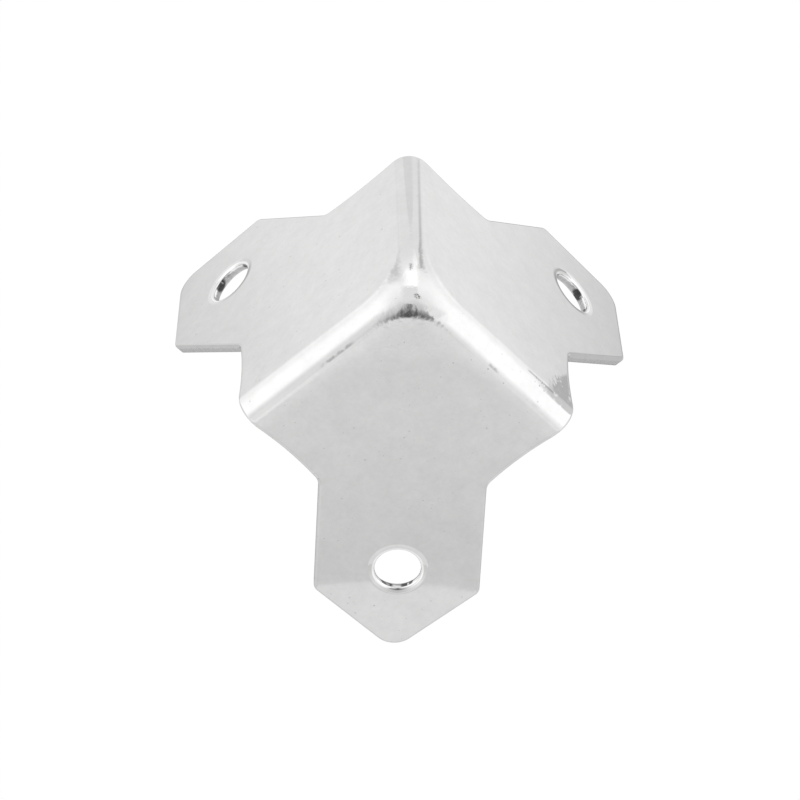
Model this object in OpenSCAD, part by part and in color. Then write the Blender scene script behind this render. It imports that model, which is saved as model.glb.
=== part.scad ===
// Pressed steel corner for a case. One sheet covers the corner where three walls of the case meet.
// It has three square faces at right angles, folded along three round edges and drawn into one
// rounded corner. From the free corner of each face a pointed tab runs out with one screw hole.
//
// The origin is the corner of the case itself, where the three inner faces would meet in a point.
// The case lies in x < 0, y > 0, z < 0, so the part looks toward +X (side), -Y (front) and +Z (top).

/* [Sheet] */
// Thickness of the steel sheet
sheet = 1.1; // [0.7:0.1:1.4]
// Outside radius of the three folded edges
fold_r = 2.1; // [1.8:0.1:2.6]

/* [Drawn corner] */
// Radius of the arc that rounds the flat part of each face toward the corner
flat_arc = 4.756; // [4:0.001:6]

/* [Faces] */
// Side of each square face, from the sharp outer edges
face = 22.5; // [20:0.5:26]
// How far the free edge of a face bows in between the fold and the tab
edge_bow = 0.3; // [0.1:0.1:0.6]

/* [Tabs] */
// Width of the fixing tab
tab_w = 16; // [12:0.5:18]
// Distance on a face's diagonal from the sharp outer corner to the tab's shoulders
shoulder_reach = 36.4; // [36:0.1:40]
// Distance on the diagonal to the sharp point of the tab, before it is rounded
tip_reach = 43.6; // [42:0.1:50]
// Radius of the shoulders
shoulder_r = 1; // [0.4:0.1:2]
// Radius of the rounded point
tip_r = 2.3; // [1:0.1:3]

/* [Screw holes] */
// Distance on the diagonal from the sharp outer corner to the hole's centre
hole_reach = 33.8; // [33:0.1:36]
// Diameter of the hole through the sheet
hole_d = 4.5; // [3:0.1:5]
// Diameter of the countersunk mouth on the outer face
mouth_d = 5.7; // [5.2:0.1:6.5]
// Depth of the countersink
mouth_depth = 0.5; // [0.2:0.1:0.6]

/* [Hidden] */
$fn = 96;

diagonal = [1, 1, 1];
// Size of the solid stock that the shell is cut from, past the points of the tabs
stock = tip_reach;
// Length by which a cutter passes the surface that it cuts
past = 1;
// Ratio by which an arc passes the sides that it rounds
arc_over = 1.002;

// The sheet keeps its thickness round every bend: one core is grown by the outside radius for the
// outer surface and by the inside radius for the inner one. The core is the inner octant, with the
// corner of each of its faces rounded by an arc and a sphere through those three arcs.
inner_r = fold_r - sheet;
// Each coordinate of the sphere's centre, in from the outer faces: the folds' rounds end here too
dome_in = fold_r + flat_arc;
// Radius of the sphere in the core. Each arc is seen from its centre at 45 degrees to the face
dome_core_r = flat_arc * sqrt(2);

// Distance along the fold at which the tab's side would meet the free edge of the face
root = face - tab_w / sqrt(2);
// The bow starts this far past the fold's round and ends as far inside the tab
bow_margin = 0.5;
bow_start = fold_r + bow_margin;
bow_chord = root + bow_margin - bow_start;
// Radius of the bow's arc
bow_r = (bow_chord * bow_chord / 4 + edge_bow * edge_bow) / (2 * edge_bow);

function unit(v) = v / norm(v);

// Half of the angle at corner p between its neighbours a and b
function half_angle(p, a, b) = acos(unit(a - p) * unit(b - p)) / 2;

// Points where an arc of radius r touches the two sides at corner p
function touch(p, a, b, r) =
    let (reach = r / tan(half_angle(p, a, b)))
    [p + reach * unit(a - p), p + reach * unit(b - p)];

// Centre of that arc
function arc_centre(p, a, b, r) =
    p + r / sin(half_angle(p, a, b)) * unit(unit(a - p) + unit(b - p));

// What an arc of radius r takes off at corner p. The arc is a hair large, so it crosses the sides
module corner_waste(p, a, b, r) {
    centre = arc_centre(p, a, b, r);
    ends = touch(p, a, b, r);
    difference() {
        polygon([centre, 2 * ends[0] - centre, 2 * p - centre, 2 * ends[1] - centre]);
        translate(centre)
            circle(r * arc_over);
    }
}

// Convex polygon with a true arc at each corner that has a radius
module rounded_polygon(points, radii) {
    n = len(points);
    difference() {
        polygon(points);
        for (i = [0:n - 1])
            if (radii[i] > 0)
                corner_waste(points[i], points[(i + n - 1) % n], points[(i + 1) % n], radii[i]);
    }
}

// Repeats a shape for the three faces, by turns about the corner's diagonal
module each_face() {
    for (turn = [0:2])
        rotate(a = 120 * turn, v = diagonal)
            children();
}

// Directions from the sphere's centre that meet the drawn corner: all but a cone over each flat
module dome_directions() {
    length = 4 * flat_arc;
    translate(-dome_in * diagonal)
        difference() {
            cube(length);
            each_face()
                cylinder(h = 2 * length, r1 = 0, r2 = 2 * length);
        }
}

// Core of the solid corner, with the room for the drawn corner left out
module core() {
    difference() {
        translate(-stock * diagonal)
            cube(stock - fold_r);
        dome_directions();
    }
}

// Drawn corner: the core's sphere grown by r
module dome(r) {
    intersection() {
        translate(-dome_in * diagonal)
            sphere(dome_core_r + r);
        dome_directions();
    }
}

// Flat of the top face, with its corner rounded, r thick over the core
module flat(r) {
    translate([0, 0, -fold_r])
        linear_extrude(r)
            difference() {
                translate([-stock, -stock])
                    square(stock - fold_r);
                difference() {
                    translate([-dome_in, -dome_in])
                        square(flat_arc + past);
                    translate([-dome_in, -dome_in])
                        circle(flat_arc);
                }
            }
}

// Quarter round along the upright fold, with radius r, up to where the arcs of two flats meet it
module fold_round(r) {
    translate([-fold_r, -fold_r, -stock])
        linear_extrude(stock - dome_in)
            intersection() {
                circle(r);
                square(2 * r);
            }
}

// Round with radius r along the top flat's arc, from the flat halfway down to where the dome begins
module arc_round(r) {
    translate([-dome_in, -dome_in, -fold_r])
        rotate_extrude(angle = 90)
            translate([flat_arc, 0])
                intersection() {
                    circle(r);
                    polygon([[0, 0], [0, 2 * r], [2 * r, 2 * r]]);
                }
}

// Solid corner: the core grown by r
module grown(r) {
    core();
    dome(r);
    each_face() {
        flat(r);
        fold_round(r);
        arc_round(r);
    }
}

// Outline of the top leg: the square face with bowed free edges, and the pointed tab
module leg_outline() {
    half = tab_w / 2;
    difference() {
        translate([-face, -face])
            square(face + past);
        for (side = [0, 1])
            mirror([side, -side])
                translate([-face - bow_r + edge_bow, -bow_start - bow_chord / 2])
                    circle(bow_r, $fn = 720);
    }
    rotate(-135)
        rounded_polygon(
            [[fold_r, half], [fold_r, -half], [shoulder_reach, -half], [tip_reach, 0],
             [shoulder_reach, half]],
            [0, 0, shoulder_r, tip_r, shoulder_r]
        );
}

// Room that the three legs and the drawn corner may fill
module leg_stock() {
    depth = fold_r + bow_margin / 2;
    each_face()
        translate([0, 0, -depth])
            linear_extrude(depth + past)
                leg_outline();
    translate(-dome_in * diagonal)
        cube(dome_in + past);
}

// Screw hole of the top leg, with its countersunk mouth in the outer face
module screw_hole() {
    place = -hole_reach / sqrt(2);
    flare = (mouth_d - hole_d) / mouth_depth;
    translate([place, place, -sheet - past])
        cylinder(h = sheet + 2 * past, d = hole_d);
    translate([place, place, -mouth_depth])
        cylinder(h = mouth_depth + past, d1 = hole_d, d2 = mouth_d + flare * past);
}

// The pressing with its sharp outer corner at the origin, around a case in the negative octant
module pressing() {
    difference() {
        intersection() {
            difference() {
                grown(fold_r);
                grown(inner_r);
            }
            leg_stock();
        }
        each_face()
            screw_hole();
    }
}

module corner_shell() {
    color("silver")
        rotate([0, 0, -90])
            translate(sheet * diagonal)
                pressing();
}

corner_shell();
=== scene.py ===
# %% [markdown]
# # A pressed steel case corner
# The corner of a tool case or a flight case is covered by one small sheet of plated steel. It has
# three square faces at right angles, and from each face a pointed tab runs out with a screw hole.
# This lesson dresses the exact CAD solid of that part: it makes a finer mesh of the same shape,
# with the rolled edges that a press leaves, and gives it a bright plated finish.
#
# The first cell loads the imported CAD model. It is the frame: everything made here lies in the same
# place, in metres, and the box of the CAD model is kept to find the middle of the part.

# %% Load the frame
import math

import bmesh
import bpy
from mathutils import Matrix, Vector
from mathutils.geometry import delaunay_2d_cdt


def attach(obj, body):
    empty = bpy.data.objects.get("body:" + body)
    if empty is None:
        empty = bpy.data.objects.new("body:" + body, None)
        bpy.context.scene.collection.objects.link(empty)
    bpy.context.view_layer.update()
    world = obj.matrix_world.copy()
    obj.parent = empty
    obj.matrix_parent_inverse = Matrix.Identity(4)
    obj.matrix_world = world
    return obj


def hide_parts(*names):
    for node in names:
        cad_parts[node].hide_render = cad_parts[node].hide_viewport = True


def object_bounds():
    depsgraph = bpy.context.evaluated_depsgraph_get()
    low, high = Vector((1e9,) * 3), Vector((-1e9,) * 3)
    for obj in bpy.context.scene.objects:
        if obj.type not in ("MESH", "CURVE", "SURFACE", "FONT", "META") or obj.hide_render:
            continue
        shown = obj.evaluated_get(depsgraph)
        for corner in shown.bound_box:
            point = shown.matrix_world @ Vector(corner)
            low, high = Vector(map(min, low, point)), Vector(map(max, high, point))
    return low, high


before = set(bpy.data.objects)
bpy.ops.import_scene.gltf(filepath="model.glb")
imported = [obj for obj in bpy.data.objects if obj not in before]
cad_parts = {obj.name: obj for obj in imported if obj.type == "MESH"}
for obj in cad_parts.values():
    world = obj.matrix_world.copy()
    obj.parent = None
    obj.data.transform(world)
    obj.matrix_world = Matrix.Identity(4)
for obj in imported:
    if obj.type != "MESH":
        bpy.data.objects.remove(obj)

cad_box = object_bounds()
print("CAD box in mm:", [[round(1000 * x, 2) for x in corner] for corner in cad_box])

# %% [markdown]
# ## Sizes
# These are the sizes that the CAD source uses, in millimetres, because a sheet-metal worker would
# give them so. Only the second group is new: the press rolls the outer rim of every cut over, the
# inner rim keeps a tiny break, and the root of the tab has a small round. The sheet also springs
# back a little beside the folds, so each flat is crowned there by a few hundredths, and pressed
# sheet is never quite flat, so it waves by a few thousandths.

# %% Sizes of the pressing
MM = 0.001

SHEET = 1.1
FOLD_R = 2.1
FLAT_ARC = 4.756
FACE = 22.5
EDGE_BOW = 0.3
BOW_MARGIN = 0.5
TAB_W = 16
SHOULDER_REACH = 36.4
TIP_REACH = 43.6
SHOULDER_R = 1
TIP_R = 2.3
HOLE_REACH = 33.8
HOLE_D = 4.5
MOUTH_D = 5.7

ROLL_R = 0.28
BREAK_R = 0.08
ROOT_R = 1.6
CROWN = 0.02
WAVINESS = 0.003
WAVES_PER_M = 105

DOME_IN = FOLD_R + FLAT_ARC
ROOT = FACE - TAB_W / math.sqrt(2)
print(f"folds end {DOME_IN:.3f} mm from the corner, tabs start {ROOT:.3f} mm along them")

# %% [markdown]
# ## Node maths
# Materials and Geometry Nodes are both trees of small nodes. Written one by one they are hard to
# read, so one class wraps a socket: adding or multiplying two of them adds the Math node, and
# `make` adds any other node from its type, its settings and its inputs. The press below and every
# finish are written with it.

# %% A class for sockets
class Wire:
    """A socket in a node tree. Sums, products and the like add Math nodes to the tree."""

    def __init__(self, tree, socket=None):
        self.tree = tree
        self.socket = socket

    def make(self, kind, settings=None, inputs=None, output=0):
        """Adds a node. Settings are set first, then the inputs, by name or number."""
        node = self.tree.nodes.new(kind)
        for name, value in (settings or {}).items():
            setattr(node, name, value)
        for key, value in (inputs or {}).items():
            if isinstance(value, Wire):
                self.tree.links.new(value.socket, node.inputs[key])
            else:
                node.inputs[key].default_value = value
        return Wire(self.tree, node.outputs[output] if len(node.outputs) else None)

    def out(self, name):
        """Another output of the same node."""
        return Wire(self.tree, self.socket.node.outputs[name])

    def math(self, operation, *values):
        return self.make("ShaderNodeMath", {"operation": operation}, dict(enumerate(values)))

    def __add__(self, other):
        return self.math("ADD", self, other)

    def __sub__(self, other):
        return self.math("SUBTRACT", self, other)

    def __rsub__(self, other):
        return self.math("SUBTRACT", other, self)

    def __mul__(self, other):
        return self.math("MULTIPLY", self, other)

    def __truediv__(self, other):
        return self.math("DIVIDE", self, other)

    def __rtruediv__(self, other):
        return self.math("DIVIDE", other, self)

    def __neg__(self):
        return self.math("MULTIPLY", self, -1)

    def __pow__(self, other):
        return self.math("POWER", self, other)

    def __abs__(self):
        return self.math("ABSOLUTE", self)

    __radd__ = __add__
    __rmul__ = __mul__

    def at_least(self, other):
        return self.math("MAXIMUM", self, other)

    def at_most(self, other):
        return self.math("MINIMUM", self, other)

    def step(self, low, high):
        """0 below low and 1 above high, with a soft ramp between. High may be the lower one."""
        inputs = {0: self, 1: low, 2: high, 3: 0, 4: 1}
        if low > high:
            inputs = {0: self, 1: high, 2: low, 3: 1, 4: 0}
        return self.make("ShaderNodeMapRange", {"interpolation_type": "SMOOTHSTEP"}, inputs)


print("socket class ready")

# %% [markdown]
# ## The flat blank
# The real part starts as a flat blank that is stamped out of a strip. One leg of it is drawn here,
# from the middle of one fold to the middle of the next, with the sharp corner of the case at the
# origin and both coordinates negative. Half of the outline is enough, because the leg is the same
# on both sides of its diagonal.
#
# The outline is a list of points, closer together on the arcs. Each has a direction that points
# into the metal, so a line at any distance inside the edge is found by one sum.

# %% Outline of one leg
def unit(v):
    return v / v.length


def arc_points(corner, before, after, radius, steps):
    """Points of the arc with this radius that rounds a corner between two directions."""
    a = unit(before - corner)
    b = unit(after - corner)
    half = math.acos(max(-1, min(1, a.dot(b)))) / 2
    centre = corner + unit(a + b) * radius / math.sin(half)
    start = corner + a * radius / math.tan(half) - centre
    end = corner + b * radius / math.tan(half) - centre
    sweep = math.pi - 2 * half
    points = []
    for i in range(steps + 1):
        share = i / steps
        arm = start * math.sin((1 - share) * sweep) + end * math.sin(share * sweep)
        points.append(centre + arm / math.sin(sweep))
    return points


def between(a, b, step):
    """Points on a straight line, without its ends."""
    count = max(1, math.ceil((b - a).length / step))
    return [a.lerp(b, i / count) for i in range(1, count)]


def on_leg(along, aside):
    """A point from its distance along the leg's diagonal and the distance to the side."""
    return Vector((aside - along, -aside - along)) / math.sqrt(2)


FOLD_STEPS = 14
fold_turns = [math.pi / 4 * i / FOLD_STEPS for i in range(FOLD_STEPS + 1)]
FOLD_RINGS = [FLAT_ARC + FOLD_R * math.tan(turn) for turn in fold_turns]
SUPPORT_RINGS = [FLAT_ARC - 0.4, FLAT_ARC - 0.14]
RINGS = SUPPORT_RINGS + FOLD_RINGS
EDGE_STEP = 1.0
ROOT_STEPS = 8
SHOULDER_STEPS = 8
TIP_STEPS = 16
# how far the bowed edge stays from the tab's root, and how near the root its direction is taken
ROOT_ROOM = 0.82
NEAR_ROOT = 0.3

bow_start = FOLD_R + BOW_MARGIN
bow_chord = ROOT + BOW_MARGIN - bow_start
bow_r = (bow_chord ** 2 / 4 + EDGE_BOW ** 2) / (2 * EDGE_BOW)


def bowed_edge(p):
    """The free edge of the face, which bows in a little between the fold and the tab."""
    reach = p + bow_start + bow_chord / 2
    return Vector((p, EDGE_BOW - FACE - bow_r + math.sqrt(bow_r ** 2 - reach ** 2)))


def half_outline():
    """Points of the free edge, from the middle of a fold to the tip of the tab."""
    points = [Vector((ring - DOME_IN, -FACE)) for ring in reversed(RINGS)]
    root = bowed_edge(-ROOT)
    root.x = root.y + TAB_W / math.sqrt(2)
    near_root = bowed_edge(root.x + NEAR_ROOT)
    first = -bow_start
    last = root.x + ROOT_ROOM
    steps = math.ceil((first - last) / EDGE_STEP)
    points += [bowed_edge(first + (last - first) * i / steps) for i in range(steps + 1)]
    shoulder = on_leg(SHOULDER_REACH, TAB_W / 2)
    tip = on_leg(TIP_REACH, 0)
    mirrored = on_leg(SHOULDER_REACH, -TAB_W / 2)
    for corner, before, after, radius, steps in (
        (root, near_root, shoulder, ROOT_R, ROOT_STEPS),
        (shoulder, root, tip, SHOULDER_R, SHOULDER_STEPS),
        (tip, shoulder, mirrored, TIP_R, TIP_STEPS),
    ):
        arc = arc_points(corner, before, after, radius, steps)
        points += between(points[-1], arc[0], EDGE_STEP) + arc
    return points[:len(points) - TIP_STEPS // 2]


half = half_outline()
outline = half + [Vector((v.y, v.x)) for v in reversed(half[:-1])]
inward = []
for i, point in enumerate(outline):
    before = outline[i - 1] if i else Vector((-point.x + 1, point.y))
    after = outline[i + 1] if i + 1 < len(outline) else Vector((point.x, -point.y + 1))
    along = unit(unit(point - before) + unit(after - point))
    inward.append(Vector((along.y, -along.x)))
print(f"outline: {len(outline)} points, tip at {outline[len(half) - 1].length:.2f} mm")


def inset(distance):
    """The outline, moved this far into the metal."""
    return [point + distance * into for point, into in zip(outline, inward)]


# %% [markdown]
# ## Rows along the folds
# Polished metal shows every wobble of its mesh, so the faces that will be bent lie in straight
# rows along the folds, and their widths grow so that each turns by the same angle when it is bent.
# They start just inside the rim, which the press rolls over.
#
# `plan` holds the points of this flat drawing, each once, so patches that touch share them.

# %% The plan, and the rows along the folds
plan = []
place_of = {}
patches = []


def point_at(v):
    """The number of this point in the plan. It is added when it is new."""
    key = (round(v.x, 4), round(v.y, 4))
    if key not in place_of:
        place_of[key] = len(plan)
        plan.append(v)
    return place_of[key]


RIM_IN = ROLL_R + 0.14
FOLD_ROWS = 18
ARC_STEPS = 20
corner = Vector((-DOME_IN, -DOME_IN))
rows = []
for i in range(FOLD_ROWS):
    foot = Vector((-DOME_IN, RIM_IN - FACE + (FACE - RIM_IN - DOME_IN) * i / FOLD_ROWS))
    rows.append((foot, Vector((1, 0))))
for i in range(ARC_STEPS + 1):
    turn = math.pi / 2 * i / ARC_STEPS
    rows.append((corner, Vector((math.cos(turn), math.sin(turn)))))
for foot, way in reversed(rows[:FOLD_ROWS]):
    rows.append((Vector((foot.y, foot.x)), Vector((0, 1))))

grid = [[foot + ring * way for ring in RINGS] for foot, way in rows]
for row, next_row in zip(grid, grid[1:]):
    for j in range(len(RINGS) - 1):
        quad = (row[j], row[j + 1], next_row[j + 1], next_row[j])
        patches.append([point_at(v) for v in quad])
print(f"folds: {len(patches)} quads in {len(grid) - 1} rows")

# %% [markdown]
# ## The drawn corner and the flat
# Between the rows only an even mesh is needed, so a Delaunay triangulation fills the flat through
# points on a triangular grid. The same call fills the small patch that becomes the drawn corner,
# through points on lines that fan out from the centre of the arc.

# %% The drawn corner's patch
def within(v, loop):
    """Whether a point lies inside a loop."""
    inside = False
    for a, b in zip(loop, loop[1:] + loop[:1]):
        if (a.y > v.y) != (b.y > v.y) and v.x < a.x + (v.y - a.y) / (b.y - a.y) * (b.x - a.x):
            inside = not inside
    return inside


def fill(loops, inside):
    """Triangles between an outer loop and the loops of its holes, through some inner points."""
    points = []
    edges = []
    for loop in loops:
        first = len(points)
        edges += [(first + i, first + (i + 1) % len(loop)) for i in range(len(loop))]
        points += loop
    points += inside
    made = delaunay_2d_cdt(points, edges, [], 0, 1e-7)
    source = [points[numbers[0]] for numbers in made[3]]
    for face in made[2]:
        middle = sum((source[i] for i in face), Vector((0, 0))) / len(face)
        if within(middle, loops[0]) and not any(within(middle, loop) for loop in loops[1:]):
            patches.append([point_at(source[i]) for i in face])


DOME_STEP = 0.45
arc = [row[-1] for row in grid[FOLD_ROWS:FOLD_ROWS + ARC_STEPS + 1]]
rays = []
for point in arc:
    arm = point - corner
    end = corner + arm * DOME_IN / max(arm.x, arm.y)
    rays.append([point] + between(point, end, DOME_STEP) + [end])
border = [ray[-1] for ray in rays[1:-1]]
middle_points = [v for ray in rays[1:-1] for v in ray[1:-1]]
fill([arc + border[::-1]], middle_points)
print(f"with the drawn corner: {len(patches)} faces")

# %% The flat face and tab
SCREW_HOLE = on_leg(HOLE_REACH, 0)
HOLE_STEPS = 56
MOUTH_IN = MOUTH_D / 2 + 0.16
FLAT_STEP = 0.95
FLAT_START = 5
FLAT_ROOM = 0.62 * FLAT_STEP
GRID_SIZE = 60


def hole_ring(radius):
    turns = [2 * math.pi * (i + 0.5) / HOLE_STEPS for i in range(HOLE_STEPS)]
    return [SCREW_HOLE + radius * Vector((math.cos(t), math.sin(t))) for t in turns]


rim = inset(RIM_IN)
rim = grid[0][::-1] + rim[len(RINGS):-len(RINGS)] + grid[-1]
flat_loop = [row[0] for row in grid] + rim[len(RINGS):-len(RINGS)][::-1]
hole_loop = hole_ring(MOUTH_IN)


def clear_of(v, loop, room):
    return min((v - other).length for other in loop) > room


flat_points = []
for i in range(-GRID_SIZE, GRID_SIZE):
    for j in range(GRID_SIZE):
        along = FLAT_START + FLAT_STEP * math.sqrt(3) / 2 * j
        aside = FLAT_STEP * (i + 0.5 * (j % 2))
        v = on_leg(along, aside)
        if within(v, flat_loop) and clear_of(v, flat_loop + hole_loop, FLAT_ROOM):
            if not within(v, hole_loop):
                flat_points.append(v)
before = len(patches)
fill([flat_loop, hole_loop], flat_points)
print(f"flat: {len(patches) - before} triangles through {len(flat_points)} inner points")
print(f"the plan has {len(plan)} points and {len(patches)} faces")

# %% [markdown]
# ## Profiles of the edges
# Between the outer and the inner side of the sheet a profile follows the outline. The punch rolls
# the outer rim over in a round, the wall is sheared straight, and the inner rim keeps a tiny
# break. The screw hole gets a profile of its own: its mouth is pressed in as a shallow dish with
# a round lip, and its wall flares toward the inner side, where the slug of metal broke away.

# %% Profiles of the edges
ROLL_STEPS = 6
WALL_STEPS = 3
BREAK_STEPS = 2


def rim_profile():
    """Steps of the free edge, from the outer side to the inner: distance inside it, and depth."""
    steps = []
    for i in range(ROLL_STEPS + 1):
        turn = math.pi / 2 * i / ROLL_STEPS
        steps.append((ROLL_R * (1 - math.sin(turn)), ROLL_R * (1 - math.cos(turn))))
    for i in range(1, WALL_STEPS + 1):
        steps.append((0, ROLL_R + (SHEET - ROLL_R - BREAK_R) * i / WALL_STEPS))
    for i in range(1, BREAK_STEPS + 1):
        turn = math.pi / 2 * i / BREAK_STEPS
        steps.append((BREAK_R * (1 - math.cos(turn)), SHEET - BREAK_R * (1 - math.sin(turn))))
    return steps


# the dish gives how far inside the mouth and how deep, the flare how far outside the hole
DISH = ((0, 0), (0.04, 0.007), (0.19, 0.02))
DISH_IN = 0.05
LIP_STEPS = 8
LIP_START = 12
LIP_WIDE = 0.32
LIP_HIGH = 0.205
LIP_BOTTOM = 0.235
FLARE = ((0, 0.5), (0.06, 0.68), (0.15, 0.84), (0.24, SHEET - BREAK_R))
FLARE_END = ((0.26, SHEET - 0.3 * BREAK_R), (0.32, SHEET))


def hole_profile():
    """Steps of the screw hole, from the outer side to the inner: radius, and depth."""
    mouth = MOUTH_D / 2 - DISH_IN
    hole = HOLE_D / 2
    steps = [(mouth - inside, depth) for inside, depth in DISH]
    for i in range(LIP_STEPS + 1):
        turn = math.radians(LIP_START + (90 - LIP_START) * i / LIP_STEPS)
        out = LIP_WIDE * (1 - math.sin(turn))
        steps.append((hole + out, LIP_BOTTOM - LIP_HIGH * math.cos(turn)))
    steps += [(hole + out, depth) for out, depth in FLARE + FLARE_END]
    return steps


print(f"rim in {len(rim_profile())} steps, hole in {len(hole_profile())} steps")

# %% [markdown]
# ## Thickness
# The same plan is used twice, for the outer side of the sheet and for the inner side, 1.1 mm
# lower, and the profiles close the gap between them.
#
# Every corner of a face also keeps its place in the flat blank, as an attribute. The marks that
# the punch leaves run straight through the sheet, so the material needs that place to draw them.

# %% Build the blank
def strip(first, second, closed, faces):
    """Quads between two lines of point numbers."""
    count = len(first) if closed else len(first) - 1
    for i in range(count):
        j = (i + 1) % len(first)
        faces.append((first[i], first[j], second[j], second[i]))


def build_blank():
    """The flat blank of one leg as a mesh: x and y are the plan, -z is the depth in the sheet."""
    points = [(v.x, v.y, 0) for v in plan] + [(v.x, v.y, -SHEET) for v in plan]
    faces = []
    for face in patches:
        a, b, c = (plan[i] for i in face[:3])
        up = (b - a).cross(c - a) > 0
        face = face if up else face[::-1]
        faces.append(tuple(face))
        faces.append(tuple(len(plan) + i for i in reversed(face)))
    edge_faces = []

    def ring(loop, depth):
        first = len(points)
        points.extend((v.x, v.y, -depth) for v in loop)
        return list(range(first, len(points)))

    for loop, levels, closed in (
        (rim, [(inset(e), h) for e, h in rim_profile()], False),
        (hole_loop, [(hole_ring(r), h) for r, h in hole_profile()], True),
    ):
        last = [point_at(v) for v in loop]
        bottom = [len(plan) + i for i in last]
        for level, depth in levels:
            now = ring(level, depth)
            strip(last, now, closed, edge_faces)
            last = now
        strip(last, bottom, closed, edge_faces)
    mesh = bpy.data.meshes.new("leg_blank")
    mesh.from_pydata([[MM * x for x in v] for v in points], [], faces + edge_faces)
    mesh.validate()
    place = mesh.attributes.new("blank_place", "FLOAT_VECTOR", "CORNER")
    values = []
    for loop in mesh.loops:
        p, q, height = points[loop.vertex_index]
        values += [p, q, -height]
    place.data.foreach_set("vector", values)
    return mesh


blank = bpy.data.objects.new("leg_blank", build_blank())
bpy.context.scene.collection.objects.link(blank)
print(f"blank: {len(blank.data.vertices)} points, {len(blank.data.polygons)} faces")

# %% [markdown]
# ## The press
# A press wraps the sheet round a steel core. The shape follows a rule, so Geometry Nodes can do
# what the press does: each point of the blank finds the nearest place on the core and the
# direction in which the core faces there, and sits on it at its own depth in the sheet.
#
# The tree starts with its inputs, so each can be changed on the modifier by its name.

# %% The tree and its inputs
def new_press():
    """A tree with the inputs of the press, in metres, and nothing between them yet."""
    tree = bpy.data.node_groups.new("press_and_turn", "GeometryNodeTree")
    tree.is_modifier = True
    face = tree.interface
    face.new_socket(name="Geometry", in_out="INPUT", socket_type="NodeSocketGeometry")
    for name, value in (
        ("Fold radius", FOLD_R * MM),
        ("Flat arc", FLAT_ARC * MM),
        ("Sheet", SHEET * MM),
        ("Crown", 0.0),
        ("Waviness", 0.0),
    ):
        socket = face.new_socket(name=name, in_out="INPUT", socket_type="NodeSocketFloat")
        socket.default_value = value
    legs = face.new_socket(name="Legs", in_out="INPUT", socket_type="NodeSocketInt")
    legs.default_value = 3
    finish = face.new_socket(name="Finish", in_out="INPUT", socket_type="NodeSocketMaterial")
    face.new_socket(name="Geometry", in_out="OUTPUT", socket_type="NodeSocketGeometry")
    return tree


tree = new_press()
inputs = [item for item in tree.interface.items_tree if item.in_out == "INPUT"]
sockets = {item.name: item.identifier for item in inputs}
print("inputs of the press:", ", ".join(sockets))

# %% [markdown]
# ## Press one leg
# The core is a corner of flat faces whose inner parts end in an arc, with a ball in the corner
# that passes through the three arcs. Grown by the fold's radius it gives the flats, the folds, the
# round along each arc and the drawn corner, with no kink between them.
#
# `share` says how far past the arc of the flat a point lies, and the tilt is the way that the core
# faces there. The lift adds the crown beside the folds and the faint waves of the sheet.

# %% Press one leg
def press_leg(start, given):
    """The blank on the core, with every point at its own depth in the sheet."""
    fold_r = given.out("Fold radius")
    flat_arc = given.out("Flat arc")
    dome_in = fold_r + flat_arc
    position = start.make("GeometryNodeInputPosition")
    place = start.make("ShaderNodeSeparateXYZ", inputs={0: position})
    p = place.out("X")
    q = place.out("Y")
    depth = -place.out("Z")

    over_x = (p + dome_in).at_least(0)
    over_y = (q + dome_in).at_least(0)
    reach = (over_x * over_x + over_y * over_y) ** 0.5
    past_flat = (reach - flat_arc).at_least(0)
    share = past_flat / reach.at_least(1e-9)
    in_dome = reach.math("GREATER_THAN", reach, dome_in + 1e-8)

    def pick(plain, dome):
        return plain + in_dome * (dome - plain)

    tilt_x = pick(share * over_x, over_x)
    tilt_y = pick(share * over_y, over_y)
    tilt_z = pick(fold_r, dome_in)
    tilt = (tilt_x * tilt_x + tilt_y * tilt_y + tilt_z * tilt_z) ** 0.5
    ball = flat_arc * math.sqrt(2) / tilt
    wave = start.make("ShaderNodeTexNoise", {"noise_dimensions": "3D"}, {
        "Scale": WAVES_PER_M, "Detail": 1.0, "Vector": position,
    })
    calm = ((flat_arc - reach) / flat_arc).step(0.0, 1.0)
    fall = (reach / flat_arc).at_most(1)
    turned_past = past_flat.at_most(fold_r)
    crown = fall * fall + turned_past * (2 - turned_past / fold_r) / flat_arc
    lift = (wave - 0.5) * calm * given.out("Waviness") - crown * given.out("Crown")
    height = (fold_r - depth + lift) / tilt
    pressed = start.make("ShaderNodeCombineXYZ", inputs={
        0: pick(p - share * over_x, ball * tilt_x - dome_in) + height * tilt_x,
        1: pick(q - share * over_y, ball * tilt_y - dome_in) + height * tilt_y,
        2: pick(-fold_r, ball * tilt_z - dome_in) + height * tilt_z,
    })
    return start.make("GeometryNodeSetPosition", inputs={
        0: given.out("Geometry"), "Position": pressed,
    })


start = Wire(tree)
given = start.make("NodeGroupInput")
leg = press_leg(start, given)
print(f"press one leg: {len(tree.nodes)} nodes")

# %% [markdown]
# ## Turn the leg to its three places
# The three legs are alike, so the tree turns the pressed leg round the diagonal of the corner and
# joins the seams in the middle of the folds. It then puts the corner where the CAD model has it,
# makes the copies real and gives them their finish.

# %% Turn the leg to its three places
SEAM_GAP = 1e-6


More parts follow.
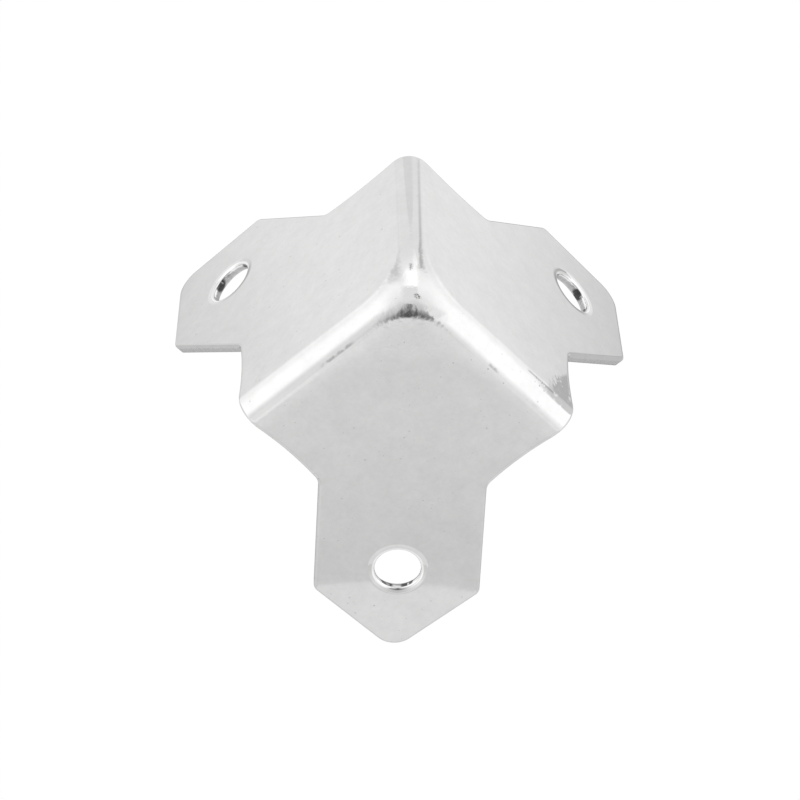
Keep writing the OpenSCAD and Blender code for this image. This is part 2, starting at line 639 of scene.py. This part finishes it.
def turn_legs(start, given, leg):
    """All the legs round the diagonal, joined, in the place of the CAD model and finished."""
    line = start.make("GeometryNodeMeshLine", {"mode": "OFFSET"}, {
        "Count": given.out("Legs"), "Offset": (0, 0, 0),
    })
    turn = start.make("FunctionNodeAxisAngleToRotation", inputs={
        "Axis": (1, 1, 1), "Angle": start.make("GeometryNodeInputIndex") * math.radians(120),
    })
    turned = start.make("GeometryNodeInstanceOnPoints", inputs={
        "Points": line, "Instance": leg, "Rotation": turn,
    })
    sheet = given.out("Sheet")
    placed = start.make("GeometryNodeTransform", inputs={
        "Geometry": turned,
        "Translation": start.make("ShaderNodeCombineXYZ", inputs={0: sheet, 1: -sheet, 2: sheet}),
        "Rotation": (0, 0, -math.pi / 2),
    })
    real = start.make("GeometryNodeRealizeInstances", inputs={0: placed})
    joined = start.make("GeometryNodeMergeByDistance", inputs={
        "Geometry": real, "Distance": SEAM_GAP,
    })
    return start.make("GeometryNodeSetMaterial", inputs={
        "Geometry": joined, "Material": given.out("Finish"),
    })


start.make("NodeGroupOutput", inputs={0: turn_legs(start, given, leg)})
print(f"the whole press: {len(tree.nodes)} nodes")

# %% [markdown]
# ## Bright plating
# The finish is a bright plating on steel. It mirrors what is round it, but not like glass: the
# plating is a little cloudy and mottled, and here and there is a pit or a speck of dust. Noise of
# several sizes gives the clouds. A Voronoi pattern gives the specks, because it has one cell for
# each. Some marks lie in places of their own, so a list of places and sizes makes a mask too.

# %% Patterns of the plating
def noise(where, scale, detail=2.0, rough=0.5):
    inputs = {"Vector": where, "Scale": scale, "Detail": detail, "Roughness": rough}
    return where.make("ShaderNodeTexNoise", {"noise_dimensions": "3D"}, inputs)


def specks(where, scale, chance, size):
    """Round specks of mixed sizes, of which only some cells of a Voronoi pattern get one."""
    inputs = {"Vector": where, "Scale": scale}
    cells = where.make("ShaderNodeTexVoronoi", {"feature": "F1"}, inputs)
    luck = where.make("ShaderNodeSeparateColor", inputs={0: cells.out("Color")})
    wide = size * (0.35 + luck.out("Green"))
    return ((wide - cells) * (3 / size)).at_least(0).at_most(1) * luck.step(1 - chance, 1.0)


def distance(a, b):
    return a.make("ShaderNodeVectorMath", {"operation": "DISTANCE"}, {0: a, 1: b}, "Value")


def marked(where, places):
    """1 in the middle of each of these places, fading to 0 where its mark ends."""
    nearest = None
    for place, size in places:
        away = distance(where, [MM * x for x in place]) / (size * MM)
        nearest = away.at_most(nearest) if nearest else away
    return nearest.step(1.0, 0.6)


# where a painted dark reflection line runs beside a fold, in mm, and how far the line reaches
DARK_REFLECTION_LINES = (
    ((-10.1, -1.0, -0.5), 2.3),
    ((-0.6, -1.0, -11.7), 0.8),
    ((1.0, 0.2, -16.9), 2.4),
)
print(f"the die rubbed {len(DARK_REFLECTION_LINES)} lines")

# %% [markdown]
# ## Marks of the press
# Where the sheet is bent over the die its plating is painted brighter than on the flats, which keep
# a grey haze: a painted highlight along the folds. The strip of the front face beside the folds gets
# a painted highlight too. Round the drawn corner and at the ends of the folds the steel was
# squeezed, which leaves shallow dents, and in a few places a thin groove beside a fold is painted
# dark, as a painted dark reflection line. All of these follow the folds, so the masks use the place
# in the flat blank, from which the distance to the fold is a short sum.

# %% Masks along the folds
FLAT_TONE = 0.735
# the brighter tone of the folds is a painted highlight
FOLD_HIGHLIGHT_TONE = 0.90


def fold_masks(here, blank):
    """Shares of 0 to 1: bent, squeezed, a painted highlight beside a fold, at the end of a fold, and
    a painted dark line.
    """
    over_x = (blank.out("X") + DOME_IN).at_least(0)
    over_y = (blank.out("Y") + DOME_IN).at_least(0)
    reach = (over_x * over_x + over_y * over_y) ** 0.5
    bent = reach.step(FLAT_ARC, FLAT_ARC + 0.6)
    squeezed = reach.step(FLAT_ARC - 0.8, FLAT_ARC) * reach.step(DOME_IN + 0.4, FLAT_ARC + 0.9)
    squeezed = squeezed * over_x.at_most(over_y).step(0.1, 1.4)
    # only the front face looks this far toward -Y
    front = here.make("ShaderNodeSeparateXYZ", inputs={0: here}).out("Y")
    front = front.step(-0.9 * MM, -1.05 * MM)
    # a painted highlight on the strip of the front face beside the folds
    fold_side_highlight = reach.step(FLAT_ARC - 1.5, FLAT_ARC - 0.1) * reach.step(FLAT_ARC + 0.3, FLAT_ARC)
    # the ends of the folds lie along the free edges of the blank
    ends = blank.out("X").at_most(blank.out("Y")).step(4.5 - FACE, 1.5 - FACE) * reach.step(0, 3)
    # a thin groove with a painted dark reflection line runs along a fold and is broken by noise
    groove_and_dark_line = reach.step(FLAT_ARC + 0.24, FLAT_ARC + 0.42)
    groove_and_dark_line = groove_and_dark_line * reach.step(FLAT_ARC + 0.72, FLAT_ARC + 0.5)
    groove_and_dark_line = groove_and_dark_line * marked(here, DARK_REFLECTION_LINES) * noise(here, 1300, 2.0, 0.6).step(0.3, 0.5)
    return bent, squeezed, fold_side_highlight * front, ends, groove_and_dark_line


print(f"a fold is {FOLD_HIGHLIGHT_TONE / FLAT_TONE:.2f} times as bright as a flat")

# %% [markdown]
# ## Sheared walls
# A punch cuts only part of the way through a sheet and tears the rest, so the wall of every cut is
# bright with fine marks at the top, and dull and rough below a ragged line. The lip of each hole
# gets a painted highlight, and in a few places inside the holes a painted dark reflection makes it
# nearly black.

# %% Masks of the walls
# painted dark reflections in the hole walls: where they are, in mm, and how far each reaches
HOLE_DARK_REFLECTIONS = (
    ((-24.5, 24.3, 0.7), 0.85),
    ((-21.1, 24.2, 0.6), 0.6),
    ((-24.9, -0.6, -23.5), 0.8),
    ((-23.5, -0.6, -24.9), 0.8),
    ((0.4, 24.5, -24.2), 0.75),
    ((0.5, 22.4, -25.0), 0.4),
    ((0.8, 23.9, -20.9), 0.5),
)


def wall_masks(here, through, depth, tears):
    """Shares of 0 to 1: in the wall of a cut, torn, a painted highlight at a lip, and a painted dark
    reflection.
    """
    wall = depth.step(ROLL_R - 0.06, ROLL_R + 0.02) * depth.step(SHEET - 0.01, SHEET - BREAK_R)
    ragged = depth + (tears - 0.5) * 0.6
    torn = ragged.step(0.42, 0.48) * ragged.step(0.96, 0.88) * wall
    gap = distance(through, (SCREW_HOLE.x, SCREW_HOLE.y, 0))
    # the lip of each hole gets a painted highlight
    lip_highlight = gap.step(HOLE_D / 2 + 0.3, HOLE_D / 2 + 0.23) * depth.step(0.45, 0.35)
    # painted dark reflections in the hole walls
    dark = marked(here, HOLE_DARK_REFLECTIONS) * depth.step(0.15, 0.24) * tears.step(0.34, 0.46)
    return wall, torn, lip_highlight, dark


print(f"{len(HOLE_DARK_REFLECTIONS)} dark tears in the holes")

# %% [markdown]
# ## Plated steel
# The masks come together in one metal. The tone is how much light the plating sends back, so haze,
# clouds and specks each take a little off it. It also holds painted light: painted highlights make
# it brighter on the folds, beside them on the front face and at the hole lips, and painted dark
# reflections darken thin lines beside a few folds and some spots in the holes. The roughness stays
# near that of a
# mirror, except in specks and on the walls. The relief is written in thousandths of a millimetre:
# the fine dimples called orange peel grow toward the drawn corner, where the steel was stretched.

# %% Material of the plated steel
MICRON = 1e-6
CLOUD_TONE = 0.02
MOTTLE_TONE = 0.10
PATCH_TONE = 0.075
# a painted highlight beside the folds on the front face
FOLD_SIDE_HIGHLIGHT_TONE = 0.055
SPECK_TONE = 0.17
# painted dark reflection lines beside the folds
DARK_LINE_TONE = 0.3
WALL_TONE = 0.08
MARKS_TONE = 0.4
TORN_TONE = 0.1
# painted dark reflections in the holes
HOLE_REFLECTION_TONE = 0.85
BLUE_SHARE = 0.997
MIRROR_ROUGH = 0.024
PEEL = 0.3 * MICRON
ORANGE_PEEL = 8 * MICRON
DENTS = 26 * MICRON
END_DENTS = 7 * MICRON
SPECK_DEPTH = 2.5 * MICRON
SCORED_DEPTH = 6 * MICRON
PUNCH_MARKS = 12 * MICRON
TORN_RELIEF = 30 * MICRON
# the steel is stretched near the drawn corner, and this far from it no more
STRETCHED = 6.0 * MM
NOT_STRETCHED = 10.2 * MM


def plated_steel():
    material = bpy.data.materials.new("plated_steel")
    material.use_nodes = True
    tree = material.node_tree
    tree.nodes.clear()
    start = Wire(tree)
    here = start.make("ShaderNodeTexCoord").out("Object")
    blank = start.make("ShaderNodeAttribute", {"attribute_name": "blank_place"}, output="Vector")
    blank = start.make("ShaderNodeSeparateXYZ", inputs={0: blank})
    through = start.make("ShaderNodeCombineXYZ", inputs={0: blank.out("X"), 1: blank.out("Y")})
    marks = noise(through, 4.5, 2.0, 0.6)
    tears = noise(through, 2.2, 2.5, 0.55)
    sharp_corner = (SHEET * MM, -SHEET * MM, SHEET * MM)
    stretched = distance(here, sharp_corner).step(NOT_STRETCHED, STRETCHED)
    bent, squeezed, fold_side_highlight, ends, groove_and_dark_line = fold_masks(here, blank)
    wall, torn, lip_highlight, dark = wall_masks(here, through, blank.out("Z"), tears)
    cloud = noise(here, 160)
    mottle = noise(here, 1900, 3.0, 0.65)
    patchy = noise(here, 620, 1.0)
    peel = noise(here, 820)
    orange = noise(here, 2700, 3.0, 0.6)
    dents = noise(here, 1350, 1.0, 0.5)
    speck = specks(here, 1100, 0.55, 0.11).at_least(specks(here, 2100, 0.3, 0.14))

    # the folds get a painted highlight in the tone
    tone = FLAT_TONE + bent * (FOLD_HIGHLIGHT_TONE - FLAT_TONE) + (cloud - 0.5) * CLOUD_TONE
    tone = tone + (mottle - 0.5) * MOTTLE_TONE + (patchy - 0.5) * PATCH_TONE
    # a painted highlight beside the folds, and painted dark reflection lines along a few of them
    tone = tone + fold_side_highlight * FOLD_SIDE_HIGHLIGHT_TONE - speck * SPECK_TONE - groove_and_dark_line * DARK_LINE_TONE
    tone = tone * (1 - wall * (WALL_TONE + (marks - 0.5) * MARKS_TONE)) * (1 - torn * TORN_TONE)
    # a painted highlight at the hole lips, and painted dark reflections in the holes
    tone = (tone + lip_highlight * (1 - tone)) * (1 - dark * HOLE_REFLECTION_TONE)
    colour = start.make("ShaderNodeCombineColor", inputs={0: tone, 1: tone, 2: tone * BLUE_SHARE})
    rough = MIRROR_ROUGH + (cloud - 0.5) * 0.012 + speck * 0.25 + wall * 0.16 + torn * 0.25
    height = (peel - 0.5) * PEEL + (orange - 0.5) * stretched * ORANGE_PEEL
    height = height + (dents - 0.5) * (squeezed * DENTS + ends * END_DENTS)
    height = height - speck * SPECK_DEPTH - groove_and_dark_line * SCORED_DEPTH
    height = height + wall * (marks - 0.5) * PUNCH_MARKS + torn * (tears - 0.5) * TORN_RELIEF
    bump = start.make("ShaderNodeBump", inputs={"Height": height, "Distance": 1.0, "Strength": 1.0})
    shader = start.make("ShaderNodeBsdfPrincipled", inputs={
        "Base Color": colour, "Metallic": 1.0, "Roughness": rough, "Normal": bump,
    })
    start.make("ShaderNodeOutputMaterial", inputs={"Surface": shader})
    return material


finish = plated_steel()
print(f"plated steel: {len(finish.node_tree.nodes)} nodes")

# %% [markdown]
# ## Press the blank
# The modifier gets the values that the sheet needs, and its result is kept as a plain mesh. A real
# corner holds no gaps, so the mesh is measured: its volume, and whether any edge is open.

# %% Press the blank
press = blank.modifiers.new("press_and_turn", "NODES")
press.node_group = tree
press[sockets["Crown"]] = CROWN * MM
press[sockets["Waviness"]] = WAVINESS * MM
press[sockets["Finish"]] = finish

bpy.context.view_layer.update()
depsgraph = bpy.context.evaluated_depsgraph_get()
shell = bpy.data.meshes.new_from_object(blank.evaluated_get(depsgraph))
shell.name = "pressed_corner"
bpy.data.objects.remove(blank)
shell.shade_smooth()
piece = bpy.data.objects.new("pressed_corner", shell)
bpy.context.scene.collection.objects.link(piece)

check = bmesh.new()
check.from_mesh(shell)
volume = check.calc_volume(signed=True) / MM ** 3
open_edges = sum(not edge.is_manifold for edge in check.edges)
triangles = sum(len(face.verts) - 2 for face in check.faces)
check.free()
print(f"pressed corner: {volume:.1f} mm3, {triangles} triangles, {open_edges} open edges")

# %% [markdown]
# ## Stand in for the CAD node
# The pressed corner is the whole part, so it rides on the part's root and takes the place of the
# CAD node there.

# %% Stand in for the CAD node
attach(piece, "root")
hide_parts("corner_shell")
print("pressed_corner stands in for corner_shell")

# %% [markdown]
# ## Camera
# The photo was fitted from the corners of the three tabs, which gives where the camera stood, the
# way it was turned and how long its lens was.

# %% Camera
RIGHT = Vector((0.73974876, -0.0174636, -0.67265652))
UP = Vector((0.5617696, 0.56629126, 0.6030996))
BACK = Vector((0.37038722, -0.82402016, 0.42872378))
CAMERA_PLACE = (0.148845, -0.353026, 0.174783)
LENS_MM = 205.2
SENSOR_MM = 36
camera_data = bpy.data.cameras.new("camera")
camera_data.lens = LENS_MM
camera_data.sensor_width = SENSOR_MM
camera_data.clip_start = 0.01
camera_data.clip_end = 20
camera = bpy.data.objects.new("camera", camera_data)
bpy.context.scene.collection.objects.link(camera)
camera.rotation_euler = Matrix((RIGHT, UP, BACK)).transposed().to_euler()
camera.location = CAMERA_PLACE
bpy.context.scene.camera = camera
print("camera at", [round(x, 3) for x in camera.location])

# %% [markdown]
# ## Floor
# The floor is a wide pale sheet well below the part. The camera and the reflections see it as plain
# white, while the light that it gives stays at a plain level. It keeps a little of its own shading,
# so the shadow of the part still falls on it.

# %% Floor
def seen_directly(start):
    """1 for rays from the camera and for rays that metal or glass has sent on, otherwise 0."""
    path = start.make("ShaderNodeLightPath")
    seen = path.out("Is Camera Ray") + path.out("Is Glossy Ray") + path.out("Is Transmission Ray")
    return seen.at_most(1)


FLOOR_WHITE = 1.04
FLOOR_SEEN = 0.9
PAPER = (0.9, 0.9, 0.9, 1)
PURE_WHITE = (1, 1, 1, 1)


def floor_material():
    material = bpy.data.materials.new("pale_floor")
    material.use_nodes = True
    tree = material.node_tree
    tree.nodes.clear()
    start = Wire(tree)
    paper = start.make("ShaderNodeBsdfDiffuse", inputs={"Color": PAPER})
    white = start.make("ShaderNodeEmission", inputs={"Color": PURE_WHITE, "Strength": FLOOR_WHITE})
    seen = seen_directly(start) * FLOOR_SEEN
    mixed = start.make("ShaderNodeMixShader", inputs={0: seen, 1: paper, 2: white})
    start.make("ShaderNodeOutputMaterial", inputs={"Surface": mixed})
    return material


FLOOR_DROP = 0.7
FLOOR_SIZE = 6.0
side = FLOOR_SIZE / 2
corners = [(-side, -side), (side, -side), (side, side), (-side, side)]
floor_mesh = bpy.data.meshes.new("floor")
floor_mesh.from_pydata([(x, y, -FLOOR_DROP) for x, y in corners], [], [(0, 1, 2, 3)])
floor_mesh.materials.append(floor_material())
floor = bpy.data.objects.new("floor", floor_mesh)
bpy.context.scene.collection.objects.link(floor)
print(f"floor {FLOOR_DROP} m below the part")

# %% [markdown]
# ## Background
# The world is about as pale as the floor and is seen in the same way, so hardly any horizon shows
# where they meet.

# %% World
SKY_LIGHT = 0.75
world = bpy.data.worlds.new("studio")
bpy.context.scene.world = world
world.use_nodes = True
world.node_tree.nodes.clear()
start = Wire(world.node_tree)
level = SKY_LIGHT + (1 - SKY_LIGHT) * seen_directly(start)
sky = start.make("ShaderNodeBackground", inputs={"Color": PURE_WHITE, "Strength": level})
start.make("ShaderNodeOutputWorld", inputs={"Surface": sky})
bpy.context.scene.view_settings.view_transform = "Standard"
print(f"the world lights at {SKY_LIGHT} and is seen as white")

# %% [markdown]
# ## The light tent
# Polished metal has no look of its own: it shows the room. Small plated parts are photographed in
# a tent of white cloth with soft lamps on both sides and one above, and the lens looks in through
# a slit. The tent is a ball round the part that only reflections can see. Its third axis points at
# the lens, so a place on it is given in degrees right of the lens, u, and above it, v, and soft
# masks of those two paint it. Each mix is a brightness and the mask of where it holds.
#
# First come the large parts: the lit cloth, its dim mouth round the lens, and the table below,
# which reaches far to the sides and gets dark there.

# %% Cloth, mouth and table
def mix(a, b, share):
    return a + share * (b - a)


CLOTH_LIGHT = 0.98
LOW_CLOTH_LIGHT = 0.96
LEFT_END_LIGHT = 0.42
RIGHT_END_LIGHT = 0.45
MOUTH_LIGHT = 0.63
UNDER_MOUTH_LIGHT = 1.03
TABLE_LIGHT = 0.90
TABLE_SHADE_LIGHT = 0.77
PAPER_LIGHT = 0.915
NEAR_TABLE_LIGHT = 0.80


def cloth_light(u, v):
    """Brightness of the cloth, of the mouth of the tent and of the table."""
    light = CLOTH_LIGHT + 0.21 * v.step(102, 45) + 0.17 * v.step(59, 17)
    light = mix(light, LOW_CLOTH_LIGHT, v.step(-30, -55))
    # the cloth gets darker toward both ends of the table
    light = mix(light, LEFT_END_LIGHT, u.step(-91, -120) * v.step(66, 84))
    right_end = (u + 0.35 * (v - 78)).step(104.5, 124) * v.step(60, 72)
    light = mix(light, RIGHT_END_LIGHT, right_end)
    # the mouth of the tent, where the lens looks in
    side = u - 3.8 - 0.54 * v.at_most(0)
    light = mix(light, MOUTH_LIGHT, abs(side).step(40, 2) * v.step(51, 2))
    under = side.step(-51, 8) * side.step(46, 29) * v.step(36, -26)
    light = mix(light, UNDER_MOUTH_LIGHT, under)
    # the table under the lens, with the edge of a paper sheet on it
    light = mix(light, TABLE_LIGHT, v.step(-64, -65.7))
    light = mix(light, TABLE_SHADE_LIGHT, v.step(-65.5, -71.2))
    near = u - 0.9
    light = mix(light, PAPER_LIGHT, (v + 71.44 + 0.0145 * near * near).step(0.04, -0.04))
    return mix(light, NEAR_TABLE_LIGHT, v.step(-80, -89))


print("masks of the cloth, the mouth and the table are ready")

# %% [markdown]
# ## Slit and lamp
# The lens looks in through a slit between two pieces of cloth. Round it the cloth lies in the shade
# of the camera, and above it hangs the lamp, which is the brightest part of the tent.

# %% Slit and lamp
SHADE_LIGHT = 0.32
SLIT_LIGHT = 0.10
UNDER_LIGHT = 0.96
LAMP_LIGHT = 1.5


def add_slit_and_lamp(light, u, v):
    """The same brightness with the slit, its shade and the lamp over the lens."""
    shade = u.step(-26, -0.5) * (u - 0.12 * v).step(21, 17) * v.step(18, -45) * v.step(-60, -37)
    light = mix(light, SHADE_LIGHT, shade)
    off = abs(u - 1.1 + 0.02 * v) - 3.0 + 0.054 * v
    slit = off.step(6.5, -6.5) * v.step(15.8, 13) * v.step(-72, -39)
    light = mix(light, SLIT_LIGHT, slit)
    under = u.step(-10.7, -2.7) * u.step(12.3, 9.6) * v.step(24, 30) * v.step(48.5, 43)
    light = mix(light, UNDER_LIGHT, under)
    lamp = u.step(-10.5, -1) * u.step(14, 8.4) * v.step(38.2, 43) * v.step(73, 51)
    lamp_end = u.step(4.5, 7) * u.step(14, 9.4) * v.step(58, 64) * v.step(106, 26)
    return mix(light, LAMP_LIGHT, lamp.at_least(lamp_end * 1.17).at_most(1))


print(f"the lamp is {LAMP_LIGHT / SLIT_LIGHT:.0f} times as bright as the slit")

# %% [markdown]
# ## Seams and marks
# The cloth has seams and creases, and a few dark marks lie on it: two small ones near the lamp, a
# long board on the right, and the dark room behind the part. It also dims a little toward the
# sides of the part that the photo doesn't show.
#
# The brightness of the tent was set for the grey haze of the flats. The folds carry a painted
# highlight in their tone, so a mask dims the cloth that only they reflect, by the share of the two
# tones.

# %% Seams and marks
SEAM_LIGHT = 0.774
CREASE_LIGHT = 0.61
BACK_LIGHT = 0.88
MARK_LIGHT = 0.25
FAINT_MARK_LIGHT = 0.55
UNSEEN_LIGHT = 0.8
BOARD_LIGHT = 0.65
LEFT_LIGHT = 0.86
LOW_LEFT_LIGHT = 0.70
ROOM_LIGHT = 0.45


def add_seams(light, u, v):
    """The same brightness with a seam on the left, a crease on the right and the back's edge."""
    left = abs(v - 47.7 + 0.552 * u).step(16, 0) * u.step(18, -46) * u.step(-88, -61)
    light = mix(light, SEAM_LIGHT, left)
    across = u - 17.7 - 0.7 * (v - 66)
    right = across.step(-12.3, 0) * across.step(21, 0) * v.step(60, 70) * v.step(109, 104)
    light = mix(light, CREASE_LIGHT, right)
    back = u.step(-44, -28) * u.step(26, 6) * (v - 0.029 * u).step(109.5, 109.9)
    return mix(light, BACK_LIGHT, back)


def add_marks(light, u, v):
    """The same brightness with the marks, the board, the dim sides and the dark room."""
    along = 0.8 * (u - 10.2) - 0.6 * (v - 29.3)
    aside = 0.6 * (u - 10.2) + 0.8 * (v - 29.3)
    light = mix(light, MARK_LIGHT, (along * along * 0.12 + aside * aside).step(3.4, 1))
    faint = ((u - 2.7) ** 2 * 4 + (v - 66.7) ** 2 * 0.5).step(16, 8)
    light = mix(light, FAINT_MARK_LIGHT, faint)
    # the cloth that the flats reflect to the lens keeps its brightness
    flat_left = u.step(-56, -84) * v.step(46, 78)
    flat_right = u.step(56, 100) * v.step(46, 76)
    flats = flat_left.at_least(flat_right).at_least(v.step(-38, -64))
    light = light * mix(FLAT_TONE / FOLD_HIGHLIGHT_TONE, 1, flats)
    # toward the sides that the photo doesn't show
    past = (u - 0.6 * v).step(69, 95).at_least((u + 0.583 * v).step(-61, -85)) * v.step(62, 45)
    light = mix(light, UNSEEN_LIGHT, past)
    # the board has a long slanted edge and a step in its lower end
    board = (u - 0.6 * v).step(67.1, 68.1) * v.step(75.2, 74.8) * u.step(134, 129)
    board = board * v.step(15, 24).at_least(u.step(90, 104))
    board = board * u.step(114.2, 113.6).at_least(v.step(71.6, 70.8))
    light = mix(light, BOARD_LIGHT - 0.08 * v.step(60, 70), board)
    light = mix(light, LEFT_LIGHT, u.step(-97, -104) * v.step(79, 72))
    light = mix(light, LOW_LEFT_LIGHT, u.step(-85, -100) * v.step(30, -10))
    return mix(light, ROOM_LIGHT, ((u * u + v * v) ** 0.5).step(141, 152))


print(f"creases down to {CREASE_LIGHT}, small marks down to {MARK_LIGHT}")

# %% [markdown]
# ## Hang the tent
# The masks need u and v, so the material works them out from the place on the ball: the angle from
# the lens is spread evenly, as on a round map with the lens in its middle. The ball is turned like
# the camera and hung round the middle of the part. The camera, matt surfaces and shadows don't see
# it, so it is there for reflections alone.

# %% Hang the tent
def tent_material():
    material = bpy.data.materials.new("lit_cloth")
    material.use_nodes = True
    tree = material.node_tree
    tree.nodes.clear()
    start = Wire(tree)
    here = start.make("ShaderNodeTexCoord").out("Object")
    way = start.make("ShaderNodeVectorMath", {"operation": "NORMALIZE"}, {0: here})
    way = start.make("ShaderNodeSeparateXYZ", inputs={0: way})
    x = way.out("X")
    y = way.out("Y")
    angle = start.math("ARCCOSINE", way.out("Z")) * math.degrees(1)
    scale = angle / ((x * x + y * y) ** 0.5).at_least(1e-6)
    u = x * scale
    v = y * scale
    light = add_marks(add_seams(add_slit_and_lamp(cloth_light(u, v), u, v), u, v), u, v)
    cloth = start.make("ShaderNodeEmission", inputs={"Color": PURE_WHITE, "Strength": light})
    start.make("ShaderNodeOutputMaterial", inputs={"Surface": cloth})
    material.cycles.emission_sampling = "NONE"
    return material


TENT_R = 0.35
part_centre = (cad_box[0] + cad_box[1]) / 2
tent_mesh = bpy.data.meshes.new("light_tent")
ball = bmesh.new()
bmesh.ops.create_icosphere(ball, subdivisions=5, radius=TENT_R)
ball.to_mesh(tent_mesh)
ball.free()
tent_mesh.shade_smooth()
tent_mesh.materials.append(tent_material())
tent = bpy.data.objects.new("light_tent", tent_mesh)
bpy.context.scene.collection.objects.link(tent)
tent.location = part_centre
tent.rotation_euler = camera.rotation_euler
tent.visible_camera = False
tent.visible_diffuse = False
tent.visible_transmission = False
tent.visible_shadow = False
print("tent round", [round(1000 * x, 1) for x in part_centre], "mm")
